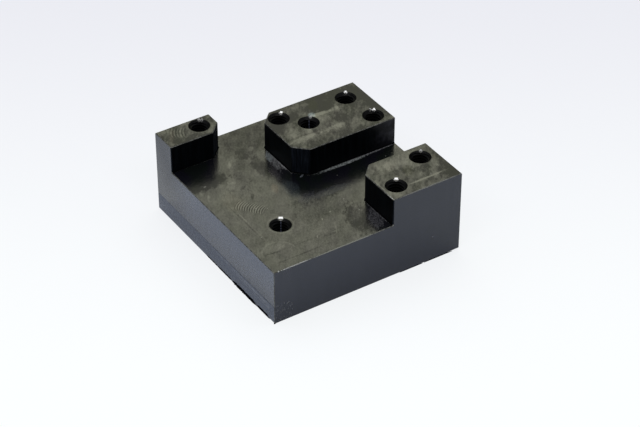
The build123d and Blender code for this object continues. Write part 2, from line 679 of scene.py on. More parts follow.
# %% New group helper
def new_group(name, inputs, outputs):
    """An empty node group. Inputs are (name, kind, value), outputs are (name, kind)."""
    group = bpy.data.node_groups.new(name, "ShaderNodeTree")
    for socket_name, kind, value in inputs:
        kind = "NodeSocket" + kind
        socket = group.interface.new_socket(socket_name, in_out="INPUT", socket_type=kind)
        if value is not None:
            socket.default_value = value
    for socket_name, kind in outputs:
        kind = "NodeSocket" + kind
        group.interface.new_socket(socket_name, in_out="OUTPUT", socket_type=kind)
    return group, group.nodes.new("NodeGroupInput").outputs, group.nodes.new("NodeGroupOutput").inputs


def use_group(tree, group, **values):
    """Places a group in a material. Its inputs are given by name, with _ for a space."""
    node = tree.nodes.new("ShaderNodeGroup")
    node.node_tree = group
    for name, value in values.items():
        link(tree, value, node.inputs[name.replace("_", " ")])
    return node.outputs


def add(tree, *values):
    """The sum of any number of values."""
    total = values[0]
    for value in values[1:]:
        total = math_node(tree, "ADD", total, value)
    return total


def times(tree, *values):
    """The product of any number of values."""
    total = values[0]
    for value in values[1:]:
        total = math_node(tree, "MULTIPLY", total, value)
    return total


# %% [markdown]
# ### Plastic grain
#
# Milled plastic is never one even tone. It has soft clouds a few millimetres wide, where the
# cutter pressed a little more or less, a fine grain, and faint stains of oil. A few noise
# textures of different scales give them, and all are stretched a little along the direction in
# which the part was wiped.

# %% Plastic grain group
def plastic_grain_group():
    group, given, result = new_group(
        "plastic_grain",
        [("Place", "Vector", None), ("Wiped", "Float", 0.55)],
        [("Clouds", "Float"), ("Grain", "Float"), ("Grit", "Float"), ("Speckle", "Float"),
         ("Stain", "Float")],
    )
    turned = group.nodes.new("ShaderNodeVectorRotate")
    turned.rotation_type = "Z_AXIS"
    turned.inputs["Angle"].default_value = math.radians(-57)
    group.links.new(given["Place"], turned.inputs["Vector"])
    squeeze = group.nodes.new("ShaderNodeCombineXYZ")
    link(group, given["Wiped"], squeeze.inputs["X"])
    squeeze.inputs["Y"].default_value = 1.0
    squeeze.inputs["Z"].default_value = 1.0
    stretched = group.nodes.new("ShaderNodeVectorMath")
    stretched.operation = "MULTIPLY"
    group.links.new(turned.outputs[0], stretched.inputs[0])
    group.links.new(squeeze.outputs[0], stretched.inputs[1])
    vector = stretched.outputs[0]
    link(group, noise_node(group, vector, 0.55, detail=2.0, roughness=0.55), result["Clouds"])
    link(group, noise_node(group, vector, 2.6, detail=3.0, roughness=0.65), result["Grain"])
    link(group, noise_node(group, vector, 1.6, detail=3.0, roughness=0.7), result["Grit"])
    speckle = noise_node(group, vector, 3.4, detail=2.0, roughness=0.6)
    link(group, smooth_step(group, speckle, 0.40, 0.62), result["Speckle"])
    stain = noise_node(group, vector, 0.33, detail=1.0, roughness=0.5)
    link(group, smooth_step(group, stain, 0.38, 0.62), result["Stain"])
    return group


plastic_grain = plastic_grain_group()
print("plastic_grain:", len(plastic_grain.nodes), "nodes")

# %% [markdown]
# ### Rubbed patch
#
# Rubbed or scuffed places are longish ovals with a ragged edge. The group measures how far a
# point lies from the middle of an oval, spoils that distance with noise, and turns it into a mask.
# A painted image would need unwrapping and would be fixed in size, while an oval is six numbers.

# %% Rubbed patch group
def rubbed_patch_group():
    group, given, result = new_group(
        "rubbed_patch",
        [("X", "Float", 0.0), ("Y", "Float", 0.0), ("Grit", "Float", 0.5), ("Centre X", "Float", 0.0),
         ("Centre Y", "Float", 0.0), ("Turn", "Float", 0.0), ("Half Length", "Float", 1.0),
         ("Half Width", "Float", 0.3), ("Raggedness", "Float", 1.0)],
        [("Mask", "Float")],
    )
    x = math_node(group, "SUBTRACT", given["X"], given["Centre X"])
    y = math_node(group, "SUBTRACT", given["Y"], given["Centre Y"])
    cos, sin = math_node(group, "COSINE", given["Turn"]), math_node(group, "SINE", given["Turn"])
    along = add(group, times(group, x, cos), times(group, y, sin))
    across = math_node(group, "SUBTRACT", times(group, y, cos), times(group, x, sin))
    along = math_node(group, "DIVIDE", along, given["Half Length"])
    across = math_node(group, "DIVIDE", across, given["Half Width"])
    reach = math_node(group, "SQRT", add(group, times(group, along, along), times(group, across, across)))
    spoilt = times(group, math_node(group, "SUBTRACT", given["Grit"], 0.5), given["Raggedness"])
    inside = add(group, math_node(group, "SUBTRACT", 1.0, reach), spoilt)
    link(group, smooth_step(group, inside, 0.0, 0.5), result["Mask"])
    return group


rubbed_patch = rubbed_patch_group()


def patch(tree, x, y, grit, centre_x, centre_y, turn, half_length, half_width, raggedness):
    """The mask of one rubbed patch. The turn is in degrees from the X axis."""
    return use_group(
        tree, rubbed_patch, X=x, Y=y, Grit=grit, Centre_X=centre_x, Centre_Y=centre_y,
        Turn=math.radians(turn), Half_Length=half_length, Half_Width=half_width, Raggedness=raggedness,
    )["Mask"]


print("rubbed_patch:", len(rubbed_patch.nodes), "nodes")

# %% [markdown]
# ### Cutter arcs and tracks
#
# A rotating cutter that moves forward leaves one crescent for every turn, all of the same radius
# and one feed apart. Measured along the feed, the distance to the crescent is a plain sum, so a
# cosine of it gives the ridges. Where the cutter stopped or turned a corner, it leaves the rim of
# its own circle, and a countersink leaves a ring around its hole.

# %% Cutter arcs group
def cutter_arcs_group():
    group, given, result = new_group(
        "cutter_arcs",
        [("X", "Float", 0.0), ("Y", "Float", 0.0), ("Start X", "Float", 0.0), ("Start Y", "Float", 0.0),
         ("Heading", "Float", 0.0), ("Feed", "Float", 0.5), ("Cutter Radius", "Float", 2.5),
         ("Half Width", "Float", 1.0), ("Length", "Float", 5.0)],
        [("Ridges", "Float"), ("Mask", "Float")],
    )
    x = math_node(group, "SUBTRACT", given["X"], given["Start X"])
    y = math_node(group, "SUBTRACT", given["Y"], given["Start Y"])
    cos, sin = math_node(group, "COSINE", given["Heading"]), math_node(group, "SINE", given["Heading"])
    along = add(group, times(group, x, cos), times(group, y, sin))
    across = math_node(group, "SUBTRACT", times(group, y, cos), times(group, x, sin))
    radius_squared = times(group, given["Cutter Radius"], given["Cutter Radius"])
    inside = math_node(group, "SUBTRACT", radius_squared, times(group, across, across))
    arc = math_node(group, "SQRT", math_node(group, "MAXIMUM", inside, 0.0))
    turns = math_node(group, "DIVIDE", add(group, along, arc), given["Feed"])
    wave = math_node(group, "COSINE", times(group, turns, 2 * math.pi))
    off_axis = math_node(group, "ABSOLUTE", across)
    side = smooth_step(group, off_axis, given["Half Width"], times(group, given["Half Width"], 0.6))
    begin = smooth_step(group, along, 0.0, 0.5)
    end = smooth_step(group, math_node(group, "SUBTRACT", given["Length"], along), 0.0, 0.8)
    mask = times(group, side, begin, end)
    link(group, mask, result["Mask"])
    link(group, times(group, wave, mask), result["Ridges"])
    return group


cutter_arcs = cutter_arcs_group()


# %% Cutter rim group
def cutter_rim_group():
    group, given, result = new_group(
        "cutter_rim",
        [("X", "Float", 0.0), ("Y", "Float", 0.0), ("Centre X", "Float", 0.0), ("Centre Y", "Float", 0.0),
         ("Radius", "Float", 3.0), ("Line Width", "Float", 0.15), ("Whole", "Float", 0.0)],
        [("Mask", "Float")],
    )
    x = math_node(group, "SUBTRACT", given["X"], given["Centre X"])
    y = math_node(group, "SUBTRACT", given["Y"], given["Centre Y"])
    reach = math_node(group, "SQRT", add(group, times(group, x, x), times(group, y, y)))
    off = math_node(group, "ABSOLUTE", math_node(group, "SUBTRACT", reach, given["Radius"]))
    line = smooth_step(group, off, given["Line Width"], 0.0)
    shown = math_node(group, "MAXIMUM", smooth_step(group, y, -0.3, 0.8), given["Whole"])
    link(group, times(group, line, shown), result["Mask"])
    return group


cutter_rim = cutter_rim_group()
print("cutter_arcs:", len(cutter_arcs.nodes), "nodes; cutter_rim:", len(cutter_rim.nodes), "nodes")


# %% [markdown]
# ### Milling pass
#
# A land is milled in passes side by side, and each has its own tone. The group marks the
# band between two lines.

# %% Milling pass group
def milling_pass_group():
    group, given, result = new_group(
        "milling_pass",
        [("Across", "Float", 0.0), ("From", "Float", 0.0), ("To", "Float", 1.0), ("Edge", "Float", 0.15)],
        [("Mask", "Float")],
    )
    start = math_node(group, "SUBTRACT", given["Across"], given["From"])
    stop = math_node(group, "SUBTRACT", given["To"], given["Across"])
    rise = smooth_step(group, start, times(group, given["Edge"], -1.0), given["Edge"])
    fall = smooth_step(group, stop, times(group, given["Edge"], -1.0), given["Edge"])
    link(group, times(group, rise, fall), result["Mask"])
    return group


milling_pass = milling_pass_group()

# %% [markdown]
# ### Upright streaks and specks
#
# The side of an end mill leaves fine upright lines on a wall, and dust and tiny chips lie
# everywhere. The lines are noise that is squeezed sideways, the specks are the middles of
# scattered cells.

# %% Upright streaks group
def upright_streaks_group():
    group, given, result = new_group(
        "upright_streaks",
        [("Place", "Vector", None), ("Per Millimetre", "Float", 1.0)],
        [("Streaks", "Float")],
    )
    squeezed = group.nodes.new("ShaderNodeVectorMath")
    squeezed.operation = "MULTIPLY"
    group.links.new(given["Place"], squeezed.inputs[0])
    squeezed.inputs[1].default_value = (1.0, 1.0, 0.06)
    node = group.nodes.new("ShaderNodeTexNoise")
    group.links.new(squeezed.outputs[0], node.inputs["Vector"])
    group.links.new(given["Per Millimetre"], node.inputs["Scale"])
    node.inputs["Detail"].default_value = 3.0
    node.inputs["Roughness"].default_value = 0.7
    link(group, smooth_step(group, node.outputs["Fac"], 0.35, 0.72), result["Streaks"])
    return group


upright_streaks = upright_streaks_group()


# %% Specks group
def specks_group():
    group, given, result = new_group(
        "specks",
        [("Place", "Vector", None), ("Per Millimetre", "Float", 0.8), ("Size", "Float", 0.12)],
        [("Mask", "Float")],
    )
    cells = group.nodes.new("ShaderNodeTexVoronoi")
    group.links.new(given["Place"], cells.inputs["Vector"])
    group.links.new(given["Per Millimetre"], cells.inputs["Scale"])
    own = group.nodes.new("ShaderNodeSeparateColor")
    group.links.new(cells.outputs["Color"], own.inputs[0])
    size = times(group, given["Size"], smooth_step(group, own.outputs[0], 0.55, 1.0))
    near = math_node(group, "SUBTRACT", size, cells.outputs["Distance"])
    link(group, smooth_step(group, near, 0.0, 0.04), result["Mask"])
    return group


specks = specks_group()
print("upright_streaks:", len(upright_streaks.nodes), "nodes; specks:", len(specks.nodes), "nodes")

# %% [markdown]
# ## Milled surfaces
#
# Black plastic hardly scatters light, so a milled face looks grey only where it mirrors something
# bright. A rubbed place on it is therefore not paler but shinier, and turns dark again where it
# mirrors a dark wall. That is what a coat does: a second thin gloss whose weight is a mask. A
# scuffed place does scatter light and stays pale in the shade, so scuffs go into the base colour,
# and so do the pale ovals along the feet of the walls, which are painted highlights where the
# feet catch light. One function makes both milled finishes, and each gets its own lists of marks.
# A pass is its strength and the two lines it lies between. A rubbed place is its strength, then
# the place, turn, half length, half width and raggedness of its oval, and a negative strength
# dulls. On the floor the dulled places beside the walls are painted shade, which deepens the
# walls' dark reflections. A scuff is its colour, how dense and how mottled it is, and the same
# six numbers of an oval.

# %% Milled surface
def bump(tree, shader, height):
    """Turns a height in millimetres into the shader's normal."""
    node = tree.nodes.new("ShaderNodeBump")
    node.inputs["Distance"].default_value = MM
    tree.links.new(height, node.inputs["Height"])
    tree.links.new(node.outputs[0], shader.inputs["Normal"])


def milled_surface(name, shine, cloudiness, graininess, passes, rubbed_and_shaded, scuffs_and_highlights, arcs, rims):
    """A dim face under a coat of uneven shine, with its own passes, marks, arcs and rims."""
    material, tree, shader = new_material(name)
    place, x, y, _ = millimetres(tree)
    grain = use_group(tree, plastic_grain, Place=place)
    clouds = math_node(tree, "SUBTRACT", grain["Clouds"], 0.5)
    fine = math_node(tree, "SUBTRACT", grain["Grain"], 0.5)
    # The coat's weight, which each pass and mark then raises or lowers
    level = add(tree, shine, times(tree, clouds, cloudiness), times(tree, fine, graininess))
    height = add(tree, times(tree, grain["Clouds"], 0.05), times(tree, grain["Grain"], 0.006))
    colour = mixed_colour(tree, grain["Stain"], (0.0026, 0.0038, 0.0034, 1), (0.0030, 0.0030, 0.0052, 1))
    for strength, start, end in passes:
        band = use_group(tree, milling_pass, Across=y, From=start, To=end)["Mask"]
        level = add(tree, level, times(tree, band, strength))
    for strength, *oval in rubbed_and_shaded:
        level = add(tree, level, times(tree, patch(tree, x, y, grain["Grit"], *oval), strength))
    for strength, start_x, start_y, heading, feed, radius, half_width, length in arcs:
        ridges = use_group(
            tree, cutter_arcs, X=x, Y=y, Start_X=start_x, Start_Y=start_y, Heading=math.radians(heading),
            Feed=feed, Cutter_Radius=radius, Half_Width=half_width, Length=length,
        )["Ridges"]
        level = add(tree, level, times(tree, ridges, strength))
        crests = math_node(tree, "MAXIMUM", times(tree, ridges, strength), 0.0)
        colour = mixed_colour(tree, crests, colour, (0.045, 0.045, 0.036, 1))
    for strength, centre_x, centre_y, radius, line_width, whole in rims:
        rim = use_group(
            tree, cutter_rim, X=x, Y=y, Centre_X=centre_x, Centre_Y=centre_y, Radius=radius,
            Line_Width=line_width, Whole=whole,
        )["Mask"]
        level = add(tree, level, times(tree, rim, strength))
    gaps = math_node(tree, "SUBTRACT", 1.0, grain["Speckle"])
    for pale, opacity, mottle, *oval in scuffs_and_highlights:
        mottled = math_node(tree, "SUBTRACT", 1.0, times(tree, gaps, mottle))
        shown = times(tree, patch(tree, x, y, grain["Grit"], *oval), mottled, opacity)
        colour = mixed_colour(tree, shown, colour, (*pale, 1))
    dust = use_group(tree, specks, Place=place, Per_Millimetre=0.5, Size=0.10)["Mask"]
    colour = mixed_colour(tree, times(tree, dust, 0.35), colour, (0.20, 0.20, 0.18, 1))
    tree.links.new(colour, shader.inputs["Base Color"])
    level = math_node(tree, "MINIMUM", math_node(tree, "MAXIMUM", level, 0.0), 1.0)
    tree.links.new(level, shader.inputs["Coat Weight"])
    link(tree, smooth_step(tree, grain["Grain"], 0.3, 0.7, 0.19, 0.25), shader.inputs["Roughness"])
    shader.inputs["Coat Roughness"].default_value = 0.17
    shader.inputs["Specular IOR Level"].default_value = 0.13
    bump(tree, shader, height)
    print(f"{name}: {len(rubbed_and_shaded)} rubbed places, {len(scuffs_and_highlights)} scuffs, {len(tree.nodes)} nodes")
    return material


# %% The floor's marks
# Painted shade: the dulled ovals beside the back-corner post, the island and the front post deepen the
# walls' dark reflections in the floor. The others are rubbed and dulled places.
floor_rubbed_and_shaded = [
    (0.35, -17.95, -4.5, 90, 2.8, 0.14, 0.6),
    (0.18, -18.00, -10.0, 90, 5.0, 0.12, 0.8),
    (-0.25, -18.40, -5.6, 90, 8.5, 0.18, 1.2),
    (-0.22, -14.0, -20.6, 0, 7.6, 0.24, 1.4),
    (-0.17, -9.0, -17.6, 0, 8.4, 0.20, 1.6),
    (-0.24, -18.6, -17.4, -6, 2.8, 0.22, 1.0),
    (0.35, -10.9, 12.4, 60, 1.5, 0.35, 1.8),
    (0.35, -20.4, 4.9, 60, 1.3, 0.30, 1.8),
    (0.30, -20.9, 7.2, 90, 1.2, 0.35, 1.8),
    (0.30, -14.3, 6.2, 57, 2.0, 1.0, 2.5),
    (0.20, -16.9, 3.0, 60, 2.4, 1.2, 2.5),
    (0.30, -4.3, 15.0, 40, 1.2, 0.7, 2.0),
    (-0.35, -12.6, 0.6, 57, 1.3, 0.5, 1.5),
    (-0.25, -12.8, 4.2, 57, 0.9, 0.6, 1.5),
    (-0.25, -6.5, 13.4, 50, 1.6, 0.8, 2.0),
    (-0.20, -9.9, 5.6, 57, 0.8, 0.5, 1.5),
    (-0.08, -4.0, -19.5, 0, 6.0, 3.5, 2.5),
    (-0.18, -6.3, -18.3, -5, 2.2, 0.5, 1.0),
    (-0.35, -3.5, 18.5, 20, 9.0, 7.0, 0.8),
    (-0.62, -18.4, 9.4, 5, 6.6, 2.6, 1.0),
    (-0.20, -9.5, 9.5, 60, 6.0, 3.0, 1.2),
    (-0.42, -5.8, 8.5, 80, 5.4, 1.8, 1.0),
    (-0.32, 0.8, -6.2, 0, 10.0, 2.2, 1.2),
    (-0.22, -3.0, -10.5, 0, 8.0, 4.5, 1.2),
    (-0.38, 1.4, -17.0, 70, 6.5, 3.2, 1.5),
    (0.25, -17.6, -16.2, 0, 3.0, 1.4, 1.5),
    (0.40, -4.4, -17.6, 62, 1.8, 0.12, 0.6),
]
# Painted highlights: the first ten ovals, along the feet of the island and the front post, are where the
# feet catch light. The others are scuffs and stains.
floor_scuffs_and_highlights = [
    ((0.20, 0.215, 0.215), 1.0, 0.6, 9.2, 0.15, 0, 7.4, 0.70, 1.0),
    ((0.15, 0.15, 0.16), 1.0, 0.6, 16.0, 0.40, 0, 7.5, 0.42, 0.8),
    ((0.25, 0.25, 0.26), 1.0, 0.6, -1.45, 7.3, 88, 4.0, 0.75, 1.2),
    ((0.12, 0.12, 0.125), 0.9, 0.6, -2.3, 8.8, 80, 4.2, 1.30, 1.5),
    ((0.12, 0.135, 0.14), 0.8, 0.5, -2.3, 10.6, 70, 2.2, 1.1, 1.5),
    ((0.11, 0.12, 0.14), 0.9, 0.6, -0.45, 1.20, 30, 0.75, 0.30, 1.2),
    ((0.09, 0.10, 0.12), 0.9, 0.6, 0.15, 1.90, -30, 0.70, 0.25, 1.2),
    ((0.06, 0.07, 0.10), 1.0, 0.6, -0.60, 2.60, -40, 0.60, 0.25, 0.8),
    ((0.09, 0.09, 0.10), 0.9, 0.7, 5.45, -17.8, 90, 4.4, 0.26, 1.2),
    ((0.050, 0.050, 0.056), 0.9, 0.7, 4.1, -18.8, 68, 4.4, 1.7, 1.5),
    ((0.022, 0.020, 0.024), 0.8, 0.2, -4.6, 5.0, 75, 3.2, 1.1, 1.5),
    ((0.018, 0.023, 0.026), 0.7, 0.2, -4.7, -1.5, 80, 4.2, 2.0, 1.8),
    ((0.016, 0.017, 0.022), 0.7, 0.2, -3.4, -5.5, 20, 2.6, 1.6, 1.8),
    ((0.016, 0.017, 0.022), 0.8, 0.2, 1.6, -6.3, 0, 6.5, 1.4, 1.5),
    ((0.10, 0.10, 0.09), 0.9, 0.3, -19.0, 8.7, 20, 0.40, 0.25, 1.0),
    ((0.022, 0.018, 0.010), 0.6, 0.1, -17.0, 1.0, 75, 4.2, 2.6, 1.2),
    ((0.030, 0.018, 0.010), 0.8, 0.1, -7.3, 0.6, 65, 2.0, 0.9, 1.5),
    ((0.13, 0.13, 0.10), 0.9, 0.3, -4.95, -13.4, 60, 0.42, 0.18, 1.0),
    ((0.11, 0.11, 0.09), 0.9, 0.3, -2.2, -12.1, 45, 0.42, 0.18, 1.0),
    ((0.10, 0.10, 0.08), 0.9, 0.3, -8.8, -17.6, 60, 0.50, 0.20, 1.0),
    ((0.10, 0.10, 0.09), 0.9, 0.3, 2.4, -10.0, 50, 0.35, 0.18, 1.0),
    ((0.10, 0.10, 0.09), 0.9, 0.3, 3.0, -14.7, 50, 0.35, 0.20, 1.0),
]
floor_hole_x, floor_hole_y = holes["floor_hole"][:2]
floor_finish = milled_surface(
    "milled_floor", 0.485, 0.80, 1.0, [], floor_rubbed_and_shaded, floor_scuffs_and_highlights,
    arcs=[
        (0.50, -17.0, 0.3, -51, 0.52, 3.2, 1.7, 6.6),
    ],
    rims=[(0.25, -17.8, -18.0, 3.5, 0.34, 0.0), (0.30, floor_hole_x, floor_hole_y, 2.65, 0.20, 1.0)],
)

# %% The tops' marks
land_passes = [
    (-0.08, 0.5, 3.60),
    (0.08, 3.65, 5.20),
    (-0.22, 10.8, 17.0),
    (0.10, -14.6, -10.9),
    (-0.06, -19.8, -15.0),
    (0.12, -20.45, -19.95),
]
land_rubbed = [
    (0.65, 10.0, 10.25, 0, 2.3, 0.75, 2.0),
    (0.50, 12.2, 10.1, 57, 0.7, 0.36, 1.2),
    (0.45, 14.1, 10.2, 57, 0.7, 0.38, 1.2),
    (0.22, 11.8, 10.1, 0, 4.4, 0.60, 2.6),
    (0.35, 2.2, 4.50, 3, 4.4, 0.95, 2.4),
    (0.45, 4.2, 4.70, 10, 1.6, 0.60, 1.6),
    (0.45, 9.9, 4.60, 3, 3.2, 0.95, 2.2),
    (0.35, 4.8, 6.3, 50, 1.4, 0.75, 1.6),
    (0.20, 1.5, 8.5, 57, 3.6, 1.8, 2.6),
    (-0.40, 13.2, 13.6, 60, 4.6, 2.4, 1.8),
    (-0.15, 10.2, 14.0, 57, 3.0, 1.4, 1.8),
    (-0.35, 19.6, 12.6, 60, 4.2, 2.8, 1.8),
    (-0.28, 12.9, 7.2, 57, 2.8, 1.6, 2.0),
    (-0.25, 19.0, 8.0, 90, 9.5, 6.0, 0.8),
    (-0.25, 22.0, 8.5, 90, 9.0, 2.0, 0.8),
    (-0.32, 22.0, -16.5, 90, 7.5, 2.2, 0.8),
    (-0.34, 0.5, 11.0, 57, 6.5, 3.8, 1.0),
    (-0.18, -18.0, 19.5, 0, 5.0, 4.5, 1.0),
    (-0.15, 17.0, 7.4, 57, 2.4, 1.4, 2.0),
    (0.45, 20.7, 11.3, 80, 0.7, 0.22, 1.6),
    (0.30, 13.0, -12.9, 0, 4.6, 1.9, 2.0),
    (0.30, 10.9, -12.9, 60, 1.4, 0.9, 1.6),
    (0.75, 14.4, -20.2, 0, 3.2, 0.36, 1.2),
    (0.65, 18.1, -20.15, 5, 1.3, 0.32, 1.2),
    (-0.45, 21.0, -21.5, 0, 2.2, 1.6, 1.5),
    (-0.30, 17.0, -17.6, 57, 2.6, 1.6, 2.0),
    (-0.15, 12.0, -18.2, 57, 1.6, 1.0, 2.0),
    (0.35, 5.95, -17.5, 90, 4.6, 0.30, 1.6),
    (0.30, -15.5, 22.3, 0, 1.8, 0.45, 1.6),
    (-0.25, -16.4, 17.7, 20, 2.2, 0.9, 1.6),
]
land_scuffs_and_halo = [
    # The first oval, behind the middle hole of the island, is bluish worn plastic and also a painted
    # highlight: the halo of that hole's spark
    ((0.14, 0.18, 0.19), 0.9, 0.4, 8.15, 10.75, 50, 1.15, 0.85, 1.5),
    ((0.08, 0.08, 0.08), 0.9, 0.3, 16.9, -19.6, 40, 0.40, 0.20, 1.0),
    ((0.018, 0.013, 0.009), 0.7, 0.1, -20.0, 19.8, 57, 2.9, 0.65, 1.2),
    ((0.016, 0.013, 0.012), 0.6, 0.1, 11.6, -12.9, 60, 1.9, 1.3, 1.5),
    ((0.008, 0.010, 0.001), 0.6, 0.1, 13.6, -16.2, 60, 2.4, 1.3, 1.5),
    ((0.018, 0.013, 0.006), 0.6, 0.1, 20.8, -15.2, 57, 1.2, 0.5, 1.0),
    ((0.008, 0.010, 0.001), 0.6, 0.1, 10.3, 13.8, 57, 2.6, 1.2, 1.5),
]
land_finish = milled_surface(
    "milled_top", 0.33, 1.9, 1.2, land_passes, land_rubbed, land_scuffs_and_halo,
    arcs=[(0.26, -20.0, 21.3, -28, 0.62, 5.0, 1.9, 4.0)],
    rims=[],
)

# %% [markdown]
# ## Walls, sides and edges
#
# The outer sides are the skin of the bar, with a slight grey-blue haze. On the left side the haze
# is painted light: paler and bluer as if lit from the left, thinner towards the back end and low
# down, and evenly pale below a faint line, where it lifts the shade of the table it mirrors. The
# other sides are painted darker low down and to the right, as painted shade of the table they
# mirror. The walls of the pockets were cut by the side of an end mill and are deep black, greyed
# towards their right ends, and their feet are painted near black as shade. The broken edges are
# pale partly where the plastic has been bruised and partly as painted highlight, and the flats in
# the mouths of the holes shine. Each of these is a finish of its own, as that is easier to judge
# than one finish with many masks.

# %% Streaked plastic
def streaked_plastic(name, dark, pale, roughness, specular, per_millimetre, shade_painted=False, greyed_right_end=False):
    """Upright cutter lines between two colours.

    With painted shade it grows darker low down and towards the right, as the table it mirrors does. It can
    also be greyed at its right end.
    """
    material, tree, shader = new_material(name)
    place, x, _, z = millimetres(tree)
    streaks = use_group(tree, upright_streaks, Place=place, Per_Millimetre=per_millimetre)["Streaks"]
    if shade_painted:
        # Painted shade: darker low down and towards the right, where the table that the side mirrors is
        # shaded
        rising = smooth_step(tree, z, 0.0, 14.0, 0.0, 0.6)
        shaded = smooth_step(tree, x, -20.0, 12.0, 0.0, -0.35)
        streaks = add(tree, times(tree, streaks, 0.4), rising, shaded)
    colour = mixed_colour(tree, streaks, (*dark, 1), (*pale, 1))
    if greyed_right_end:
        clouds = use_group(tree, plastic_grain, Place=place)["Clouds"]
        uneven = smooth_step(tree, clouds, 0.40, 0.62, 0.25, 1.0)
        greyed = times(tree, smooth_step(tree, x, high.x - 6.7, high.x - 0.7), uneven)
        colour = mixed_colour(tree, greyed, colour, (0.024, 0.024, 0.030, 1))
    tree.links.new(colour, shader.inputs["Base Color"])
    shader.inputs["Roughness"].default_value = roughness
    shader.inputs["Specular IOR Level"].default_value = specular
    return material


# %% Left side with painted light
def painted_left_side():
    """A grey-blue haze painted on as light from the left: it thins out towards the back and low down, and is
    painted evenly pale below the faint line, where the mirrored table is shaded.
    """
    material, tree, shader = new_material("left_side")
    place, _, y, z = millimetres(tree)
    streaks = use_group(tree, upright_streaks, Place=place, Per_Millimetre=0.9)["Streaks"]
    grain = use_group(tree, plastic_grain, Place=place)
    # Painted light: paler and bluer than the other sides, as if lit from the left, and thinner towards the
    # back and low down, where the mirrored table is darker
    amount = smooth_step(tree, y, 20.0, 8.0, 0.08, 0.90)
    amount = times(tree, amount, smooth_step(tree, z, 4.0, 12.0, 0.50, 1.05))
    amount = add(tree, amount, smooth_step(tree, z, 10.0, 17.0, 0.0, 0.12))
    # Painted light below the faint line, which lifts the shade of the table mirrored there
    lifted_below_line = smooth_step(tree, z, 4.15, 3.85, 0.0, 0.88)
    amount = add(tree, math_node(tree, "MAXIMUM", amount, lifted_below_line), times(tree, streaks, 0.08))
    haze = mixed_colour(tree, amount, (0.002, 0.004, 0.010, 1), (0.073, 0.086, 0.120, 1))
    tree.links.new(haze, shader.inputs["Base Color"])
    link(tree, smooth_step(tree, grain["Grain"], 0.3, 0.7, 0.25, 0.29), shader.inputs["Roughness"])
    shader.inputs["Specular IOR Level"].default_value = 0.34
    return material


# %% Bruised edges and painted highlights
def bruised_edges_and_highlights():
    """Grey plastic on the broken edges, with paler stretches where they were knocked most. The pale is
    partly bruised plastic and partly painted highlight, where the edges catch light.
    """
    material, tree, shader = new_material("edge_breaks")
    place, x, y, _ = millimetres(tree)
    grain = use_group(tree, plastic_grain, Place=place)
    colour = mixed_colour(
        tree, smooth_step(tree, grain["Grit"], 0.42, 0.62), (0.05, 0.05, 0.045, 1), (0.13, 0.13, 0.12, 1),
    )
    # The pale ovals on the front edges of the floor and of the front post's top are partly bruised plastic
    # and partly painted highlight
    for pale, *oval in [
        ((0.26, 0.26, 0.25), -17.2, low.y, 0, 3.7, 0.8, 1.0),
        ((0.15, 0.15, 0.14), 14.0, low.y, 0, 9.0, 0.8, 1.5),
        ((0.19, 0.19, 0.165), -5.5, low.y, 0, 10.0, 0.8, 1.1),
        ((0.20, 0.20, 0.18), 5.8, -21.5, 90, 1.8, 0.5, 1.5),
    ]:
        colour = mixed_colour(tree, patch(tree, x, y, grain["Grit"], *oval), colour, (*pale, 1))
    tree.links.new(colour, shader.inputs["Base Color"])
    shader.inputs["Roughness"].default_value = 0.5
    shader.inputs["Specular IOR Level"].default_value = 0.08
    return material


# %% Countersunk mouths
def countersunk_mouth():
    """Dull black, with burnished flats on the far rim that catch the lamp."""
    material, tree, shader = new_material("hole_mouths")
    _, x, y, _ = millimetres(tree)
    shine = 0.0
    for hole_name, towards, half_width, brightness in rim_nicks:
        hole_x, hole_y, _ = holes[hole_name]
        reach = mouth_radius + nick_reach - 0.5 * nick_depth
        spot_x = hole_x + reach * math.cos(math.radians(towards))
        spot_y = hole_y + reach * math.sin(math.radians(towards))
        oval = (spot_x, spot_y, towards + 90, half_width + 0.4, 0.7, 0.0)
        shine = math_node(tree, "MAXIMUM", shine, times(tree, patch(tree, x, y, 0.5, *oval), brightness))
    tree.links.new(shine, shader.inputs["Coat Weight"])
    shader.inputs["Base Color"].default_value = (0.0006, 0.0006, 0.0008, 1)
    shader.inputs["Roughness"].default_value = 0.45
    shader.inputs["Specular IOR Level"].default_value = 0.10
    shader.inputs["Coat Roughness"].default_value = 0.08
    shader.inputs["Coat IOR"].default_value = 2.2
    return material


# %% All finishes
finishes = [
    floor_finish,
    land_finish,
    painted_left_side(),
    bruised_edges_and_highlights(),
    countersunk_mouth(),
    streaked_plastic(
        "other_sides", (0.002, 0.005, 0.015), (0.014, 0.017, 0.029), 0.25, 0.46, 0.9, shade_painted=True,
    ),
    streaked_plastic(
        "pocket_walls", (0.0003, 0.0004, 0.0006), (0.002, 0.003, 0.004), 0.3, 0.06, 2.2, greyed_right_end=True,
    ),
    streaked_plastic("pocket_corners", (0.0010, 0.0014, 0.0020), (0.012, 0.015, 0.022), 0.6, 0.02, 2.2),
    # Painted shade: the feet of the walls are near black and almost without gloss, as shade in the creases
    plain_plastic("wall_feet_shade", (0.0004, 0.0005, 0.0007), 0.6, specular=0.02),
    plain_plastic("threads", (0.0002, 0.0002, 0.0003), 0.35, specular=0.06),
    # Painted highlight: a pale bluish line down the far side of two bores, where thread turns catch light
    plain_plastic("bore_glint", (0.045, 0.050, 0.075), 0.4, specular=0.2),
    plain_plastic("bruises", (0.12, 0.125, 0.14), 0.5, specular=0.4),
    plain_plastic("underside", (0.006, 0.006, 0.007), 0.4),
]
names = [material.name for material in finishes]
print("finishes:", names)

# %% [markdown]
# ## Sorting the faces
#
# The block stays one mesh, as the real one is one piece, and each face of it gets a finish by
# where it lies and which way it looks. That keeps the rules in one place and still works when
# the block changes size, which faces picked by hand would not.

